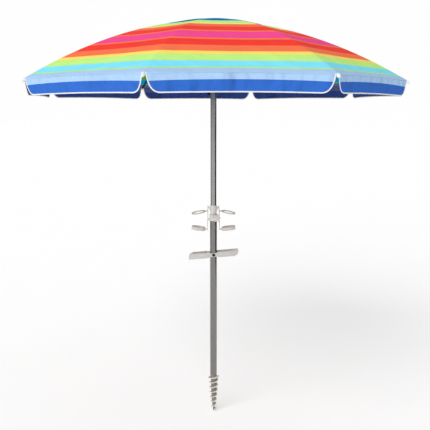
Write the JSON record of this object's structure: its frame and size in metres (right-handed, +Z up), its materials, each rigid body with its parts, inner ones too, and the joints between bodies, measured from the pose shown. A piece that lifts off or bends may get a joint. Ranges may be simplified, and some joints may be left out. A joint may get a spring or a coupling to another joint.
{
  "type": "beach umbrella",
  "caption": "Beach umbrella with striped gored canopy, scalloped valance, vent cap, folding ribs, tilt joint, telescoping pole, hooks, folding anchor handle and sand auger.",
  "frame": {"origin": "on the pole's axis at the ground line, where the pole ends and the sand auger starts", "axes": "+Z up along the pole, -Y the front, where the first rib points, +X to the right; the hooks and the anchor handle are turned 17 degrees from +X towards +Y"},
  "size_m": [1.9316, 1.9316, 2.1864],
  "materials": {
    "auger_plastic": "satin moulded plastic",
    "pale_plastic": "satin moulded plastic",
    "black_plastic": "satin moulded plastic",
    "pole_metal": "glossy grey tube",
    "black_steel": "black coated steel",
    "bolt_steel": "plain steel",
    "canopy_cloth": "woven polyester printed in bands across each gore",
    "valance_cloth": "royal blue woven polyester with a white bound hem",
    "cap_cloth": "blue woven polyester",
    "strap_webbing": "black woven webbing"
  },
  "bodies": {
    "anchor": {"sand_auger": "auger_plastic", "lower_pole": "pole_metal", "handle_bolt": "black_steel", "lock_collar": "pale_plastic", "hook_sleeve": "pale_plastic", "hook_frame_left": "pale_plastic", "hook_frame_right": "pale_plastic"},
    "handle": {"anchor_handle": "pale_plastic"},
    "knob": {"lock_knob": "pale_plastic"},
    "mast": {"upper_pole": "pole_metal", "tilt_fork": "black_plastic", "tilt_pin": "bolt_steel"},
    "head": {"top_pole": "pole_metal", "tilt_tongue": "black_plastic", "crown_hub": "black_plastic", "finial": "black_plastic"},
    "tilt_release": {"tilt_button": "black_plastic"},
    "slider": {"runner": "black_plastic"},
    "slider_catch": {"runner_catch": "black_plastic"},
    "rib_arm_1": {"rib_1": "black_steel"},
    "strut_1": {"stretcher_1": "black_steel"},
    "gore_1": {"canopy_gore_1": "canopy_cloth", "vent_cap_1": "cap_cloth"},
    "valance_flap_1": {"valance_1": "valance_cloth"},
    "rib_arm_2": {"rib_2": "black_steel"},
    "strut_2": {"stretcher_2": "black_steel"},
    "gore_2": {"canopy_gore_2": "canopy_cloth", "vent_cap_2": "cap_cloth"},
    "valance_flap_2": {"valance_2": "valance_cloth"},
    "rib_arm_3": {"rib_3": "black_steel"},
    "strut_3": {"stretcher_3": "black_steel"},
    "gore_3": {"canopy_gore_3": "canopy_cloth", "vent_cap_3": "cap_cloth"},
    "valance_flap_3": {"valance_3": "valance_cloth"},
    "rib_arm_4": {"rib_4": "black_steel"},
    "strut_4": {"stretcher_4": "black_steel"},
    "gore_4": {"canopy_gore_4": "canopy_cloth", "vent_cap_4": "cap_cloth"},
    "valance_flap_4": {"valance_4": "valance_cloth"},
    "rib_arm_5": {"rib_5": "black_steel"},
    "strut_5": {"stretcher_5": "black_steel"},
    "gore_5": {"canopy_gore_5": "canopy_cloth", "vent_cap_5": "cap_cloth"},
    "valance_flap_5": {"valance_5": "valance_cloth", "closure_strap": "strap_webbing"},
    "rib_arm_6": {"rib_6": "black_steel"},
    "strut_6": {"stretcher_6": "black_steel"},
    "gore_6": {"canopy_gore_6": "canopy_cloth", "vent_cap_6": "cap_cloth"},
    "valance_flap_6": {"valance_6": "valance_cloth"},
    "rib_arm_7": {"rib_7": "black_steel"},
    "strut_7": {"stretcher_7": "black_steel"},
    "gore_7": {"canopy_gore_7": "canopy_cloth", "vent_cap_7": "cap_cloth"},
    "valance_flap_7": {"valance_7": "valance_cloth"},
    "rib_arm_8": {"rib_8": "black_steel"},
    "strut_8": {"stretcher_8": "black_steel"},
    "gore_8": {"canopy_gore_8": "canopy_cloth", "vent_cap_8": "cap_cloth"},
    "valance_flap_8": {"valance_8": "valance_cloth"}
  },
  "joints": [
    {"name": "handle_fold", "type": "hinge", "parent": "anchor", "child": "handle", "pos_m": [0, 0, 0.7115], "axis": [0.2924, -0.9563, 0], "range_deg": [0, 76]},
    {"name": "lock_knob_turn", "type": "hinge", "parent": "anchor", "child": "knob", "pos_m": [0.02571, -0.03064, 0.921], "axis": [0.6428, -0.766, 0], "continuous": true},
    {"name": "pole_height", "type": "slide", "parent": "anchor", "child": "mast", "axis": [0, 0, 1], "range_m": [-0.15, 0]},
    {"name": "tilt", "type": "hinge", "parent": "mast", "child": "head", "pos_m": [0, 0, 1.61], "axis": [1, 0, 0], "range_deg": [-30, 0]},
    {"name": "tilt_button_press", "type": "slide", "parent": "head", "child": "tilt_release", "axis": [0, 1, 0], "range_m": [0, 0.003], "stiffness_N_per_m": 400, "springref_m": -0.002},
    {"name": "runner_slide", "type": "slide", "parent": "head", "child": "slider", "axis": [0, 0, -1], "range_m": [0, 0.67645]},
    {"name": "runner_catch_press", "type": "slide", "parent": "slider", "child": "slider_catch", "axis": [-0.3827, 0.9239, 0], "range_m": [0, 0.0015], "stiffness_N_per_m": 400, "springref_m": -0.002},
    {"name": "rib_1_fold", "type": "hinge", "parent": "head", "child": "rib_arm_1", "pos_m": [0, -0.025, 1.93988], "axis": [1, 0, 0], "range_deg": [0, 64.44]},
    {"name": "stretcher_1_fold", "type": "hinge", "parent": "rib_arm_1", "child": "strut_1", "pos_m": [0, -0.449, 1.86205], "axis": [1, 0, 0], "range_deg": [-128.86, 0]},
    {"name": "gore_1_fold", "type": "hinge", "parent": "head", "child": "gore_1", "pos_m": [-0.00989, 0.02388, 1.89982], "axis": [0.9239, 0.3827, 0], "range_deg": [0, 63.61], "deforming": ["canopy_gore_1", "vent_cap_1"]},
    {"name": "valance_1_hang", "type": "hinge", "parent": "gore_1", "child": "valance_flap_1", "pos_m": [0.34118, -0.82368, 1.636], "axis": [0.9239, 0.3827, 0], "range_deg": [-63.61, 0], "deforming": ["valance_1"]},
    {"name": "rib_2_fold", "type": "hinge", "parent": "head", "child": "rib_arm_2", "pos_m": [0.01768, -0.01768, 1.93988], "axis": [0.7071, 0.7071, 0], "range_deg": [0, 64.44]},
    {"name": "stretcher_2_fold", "type": "hinge", "parent": "rib_arm_2", "child": "strut_2", "pos_m": [0.31749, -0.31749, 1.86205], "axis": [0.7071, 0.7071, 0], "range_deg": [-128.86, 0]},
    {"name": "gore_2_fold", "type": "hinge", "parent": "head", "child": "gore_2", "pos_m": [-0.02388, 0.00989, 1.89982], "axis": [0.3827, 0.9239, 0], "range_deg": [0, 63.61], "deforming": ["canopy_gore_2", "vent_cap_2"]},
    {"name": "valance_2_hang", "type": "hinge", "parent": "gore_2", "child": "valance_flap_2", "pos_m": [0.82368, -0.34118, 1.636], "axis": [0.3827, 0.9239, 0], "range_deg": [-63.61, 0], "deforming": ["valance_2"]},
    {"name": "rib_3_fold", "type": "hinge", "parent": "head", "child": "rib_arm_3", "pos_m": [0.025, 0, 1.93988], "axis": [0, 1, 0], "range_deg": [0, 64.44]},
    {"name": "stretcher_3_fold", "type": "hinge", "parent": "rib_arm_3", "child": "strut_3", "pos_m": [0.449, 0, 1.86205], "axis": [0, 1, 0], "range_deg": [-128.86, 0]},
    {"name": "gore_3_fold", "type": "hinge", "parent": "head", "child": "gore_3", "pos_m": [-0.02388, -0.00989, 1.89982], "axis": [-0.3827, 0.9239, 0], "range_deg": [0, 63.61], "deforming": ["canopy_gore_3", "vent_cap_3"]},
    {"name": "valance_3_hang", "type": "hinge", "parent": "gore_3", "child": "valance_flap_3", "pos_m": [0.82368, 0.34118, 1.636], "axis": [-0.3827, 0.9239, 0], "range_deg": [-63.61, 0], "deforming": ["valance_3"]},
    {"name": "rib_4_fold", "type": "hinge", "parent": "head", "child": "rib_arm_4", "pos_m": [0.01768, 0.01768, 1.93988], "axis": [-0.7071, 0.7071, 0], "range_deg": [0, 64.44]},
    {"name": "stretcher_4_fold", "type": "hinge", "parent": "rib_arm_4", "child": "strut_4", "pos_m": [0.31749, 0.31749, 1.86205], "axis": [-0.7071, 0.7071, 0], "range_deg": [-128.86, 0]},
    {"name": "gore_4_fold", "type": "hinge", "parent": "head", "child": "gore_4", "pos_m": [-0.00989, -0.02388, 1.89982], "axis": [-0.9239, 0.3827, 0], "range_deg": [0, 63.61], "deforming": ["canopy_gore_4", "vent_cap_4"]},
    {"name": "valance_4_hang", "type": "hinge", "parent": "gore_4", "child": "valance_flap_4", "pos_m": [0.34118, 0.82368, 1.636], "axis": [-0.9239, 0.3827, 0], "range_deg": [-63.61, 0], "deforming": ["valance_4"]},
    {"name": "rib_5_fold", "type": "hinge", "parent": "head", "child": "rib_arm_5", "pos_m": [0, 0.025, 1.93988], "axis": [-1, 0, 0], "range_deg": [0, 64.44]},
    {"name": "stretcher_5_fold", "type": "hinge", "parent": "rib_arm_5", "child": "strut_5", "pos_m": [0, 0.449, 1.86205], "axis": [-1, 0, 0], "range_deg": [-128.86, 0]},
    {"name": "gore_5_fold", "type": "hinge", "parent": "head", "child": "gore_5", "pos_m": [0.00989, -0.02388, 1.89982], "axis": [-0.9239, -0.3827, 0], "range_deg": [0, 63.61], "deforming": ["canopy_gore_5", "vent_cap_5"]},
    {"name": "valance_5_hang", "type": "hinge", "parent": "gore_5", "child": "valance_flap_5", "pos_m": [-0.34118, 0.82368, 1.636], "axis": [-0.9239, -0.3827, 0], "range_deg": [-63.61, 0], "deforming": ["valance_5", "closure_strap"]},
    {"name": "rib_6_fold", "type": "hinge", "parent": "head", "child": "rib_arm_6", "pos_m": [-0.01768, 0.01768, 1.93988], "axis": [-0.7071, -0.7071, 0], "range_deg": [0, 64.44]},
    {"name": "stretcher_6_fold", "type": "hinge", "parent": "rib_arm_6", "child": "strut_6", "pos_m": [-0.31749, 0.31749, 1.86205], "axis": [-0.7071, -0.7071, 0], "range_deg": [-128.86, 0]},
    {"name": "gore_6_fold", "type": "hinge", "parent": "head", "child": "gore_6", "pos_m": [0.02388, -0.00989, 1.89982], "axis": [-0.3827, -0.9239, 0], "range_deg": [0, 63.61], "deforming": ["canopy_gore_6", "vent_cap_6"]},
    {"name": "valance_6_hang", "type": "hinge", "parent": "gore_6", "child": "valance_flap_6", "pos_m": [-0.82368, 0.34118, 1.636], "axis": [-0.3827, -0.9239, 0], "range_deg": [-63.61, 0], "deforming": ["valance_6"]},
    {"name": "rib_7_fold", "type": "hinge", "parent": "head", "child": "rib_arm_7", "pos_m": [-0.025, 0, 1.93988], "axis": [0, -1, 0], "range_deg": [0, 64.44]},
    {"name": "stretcher_7_fold", "type": "hinge", "parent": "rib_arm_7", "child": "strut_7", "pos_m": [-0.449, 0, 1.86205], "axis": [0, -1, 0], "range_deg": [-128.86, 0]},
    {"name": "gore_7_fold", "type": "hinge", "parent": "head", "child": "gore_7", "pos_m": [0.02388, 0.00989, 1.89982], "axis": [0.3827, -0.9239, 0], "range_deg": [0, 63.61], "deforming": ["canopy_gore_7", "vent_cap_7"]},
    {"name": "valance_7_hang", "type": "hinge", "parent": "gore_7", "child": "valance_flap_7", "pos_m": [-0.82368, -0.34118, 1.636], "axis": [0.3827, -0.9239, 0], "range_deg": [-63.61, 0], "deforming": ["valance_7"]},
    {"name": "rib_8_fold", "type": "hinge", "parent": "head", "child": "rib_arm_8", "pos_m": [-0.01768, -0.01768, 1.93988], "axis": [0.7071, -0.7071, 0], "range_deg": [0, 64.44]},
    {"name": "stretcher_8_fold", "type": "hinge", "parent": "rib_arm_8", "child": "strut_8", "pos_m": [-0.31749, -0.31749, 1.86205], "axis": [0.7071, -0.7071, 0], "range_deg": [-128.86, 0]},
    {"name": "gore_8_fold", "type": "hinge", "parent": "head", "child": "gore_8", "pos_m": [0.00989, 0.02388, 1.89982], "axis": [0.9239, -0.3827, 0], "range_deg": [0, 63.61], "deforming": ["canopy_gore_8", "vent_cap_8"]},
    {"name": "valance_8_hang", "type": "hinge", "parent": "gore_8", "child": "valance_flap_8", "pos_m": [-0.34118, -0.82368, 1.636], "axis": [0.9239, -0.3827, 0], "range_deg": [-63.61, 0], "deforming": ["valance_8"]}
  ],
  "couplings": [
    {"joint": "rib_1_fold", "follows": "runner_slide", "rad_per_m": 1.6623},
    {"joint": "stretcher_1_fold", "follows": "runner_slide", "rad_per_m": -3.3245},
    {"joint": "gore_1_fold", "follows": "runner_slide", "rad_per_m": 1.641},
    {"joint": "valance_1_hang", "follows": "runner_slide", "rad_per_m": -1.641},
    {"joint": "rib_2_fold", "follows": "runner_slide", "rad_per_m": 1.6623},
    {"joint": "stretcher_2_fold", "follows": "runner_slide", "rad_per_m": -3.3245},
    {"joint": "gore_2_fold", "follows": "runner_slide", "rad_per_m": 1.641},
    {"joint": "valance_2_hang", "follows": "runner_slide", "rad_per_m": -1.641},
    {"joint": "rib_3_fold", "follows": "runner_slide", "rad_per_m": 1.6623},
    {"joint": "stretcher_3_fold", "follows": "runner_slide", "rad_per_m": -3.3245},
    {"joint": "gore_3_fold", "follows": "runner_slide", "rad_per_m": 1.641},
    {"joint": "valance_3_hang", "follows": "runner_slide", "rad_per_m": -1.641},
    {"joint": "rib_4_fold", "follows": "runner_slide", "rad_per_m": 1.6623},
    {"joint": "stretcher_4_fold", "follows": "runner_slide", "rad_per_m": -3.3245},
    {"joint": "gore_4_fold", "follows": "runner_slide", "rad_per_m": 1.641},
    {"joint": "valance_4_hang", "follows": "runner_slide", "rad_per_m": -1.641},
    {"joint": "rib_5_fold", "follows": "runner_slide", "rad_per_m": 1.6623},
    {"joint": "stretcher_5_fold", "follows": "runner_slide", "rad_per_m": -3.3245},
    {"joint": "gore_5_fold", "follows": "runner_slide", "rad_per_m": 1.641},
    {"joint": "valance_5_hang", "follows": "runner_slide", "rad_per_m": -1.641},
    {"joint": "rib_6_fold", "follows": "runner_slide", "rad_per_m": 1.6623},
    {"joint": "stretcher_6_fold", "follows": "runner_slide", "rad_per_m": -3.3245},
    {"joint": "gore_6_fold", "follows": "runner_slide", "rad_per_m": 1.641},
    {"joint": "valance_6_hang", "follows": "runner_slide", "rad_per_m": -1.641},
    {"joint": "rib_7_fold", "follows": "runner_slide", "rad_per_m": 1.6623},
    {"joint": "stretcher_7_fold", "follows": "runner_slide", "rad_per_m": -3.3245},
    {"joint": "gore_7_fold", "follows": "runner_slide", "rad_per_m": 1.641},
    {"joint": "valance_7_hang", "follows": "runner_slide", "rad_per_m": -1.641},
    {"joint": "rib_8_fold", "follows": "runner_slide", "rad_per_m": 1.6623},
    {"joint": "stretcher_8_fold", "follows": "runner_slide", "rad_per_m": -3.3245},
    {"joint": "gore_8_fold", "follows": "runner_slide", "rad_per_m": 1.641},
    {"joint": "valance_8_hang", "follows": "runner_slide", "rad_per_m": -1.641}
  ]
}
